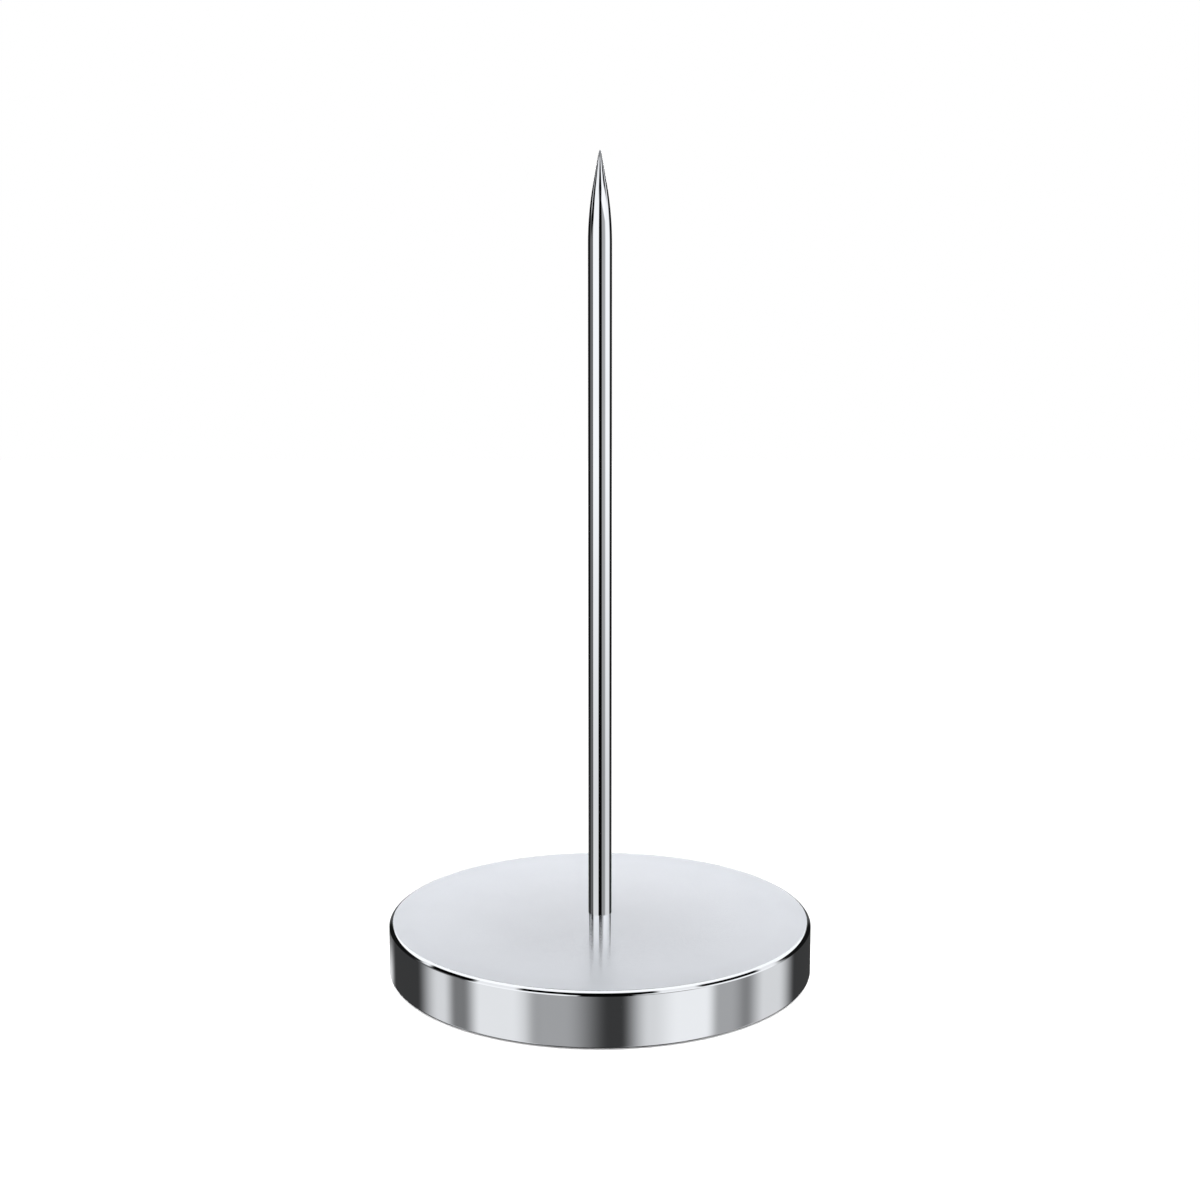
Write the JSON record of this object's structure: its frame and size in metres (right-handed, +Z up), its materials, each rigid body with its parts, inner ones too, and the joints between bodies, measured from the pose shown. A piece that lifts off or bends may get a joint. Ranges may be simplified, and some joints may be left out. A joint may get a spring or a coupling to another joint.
{
  "type": "bill spike",
  "caption": "Bill spike: an upright pointed chrome rod on a low, round, weighted chrome base with a non-slip pad underneath.",
  "frame": {"origin": "centre of the pad's underside, on the surface that the base stands on", "axes": "+Z up along the spike; X and Y lie in the surface, and the object is round about +Z, so their heading is free"},
  "size_m": [0.08, 0.08, 0.152],
  "materials": {
    "chrome_rod": "mirror-bright chrome plate over ground and polished steel wire",
    "chrome_sheet": "bright chrome plate, mirror on the rim and a little softer on the flat top",
    "weight_iron": "fine sand-cast grain, unpainted",
    "zinc_plate": "bright zinc plate",
    "spring_steel": "oiled dark spring steel",
    "adhesive_film": "cloudy acrylic film",
    "pad_rubber": "matt black closed-cell rubber, fine grain"
  },
  "bodies": {
    "root": {"spike": "chrome_rod", "base_cover": "chrome_sheet", "base_weight": "weight_iron", "flat_washer": "zinc_plate", "lock_washer": "spring_steel", "hex_nut": "zinc_plate", "pad_adhesive": "adhesive_film", "grip_pad": "pad_rubber"}
  },
  "joints": []
}
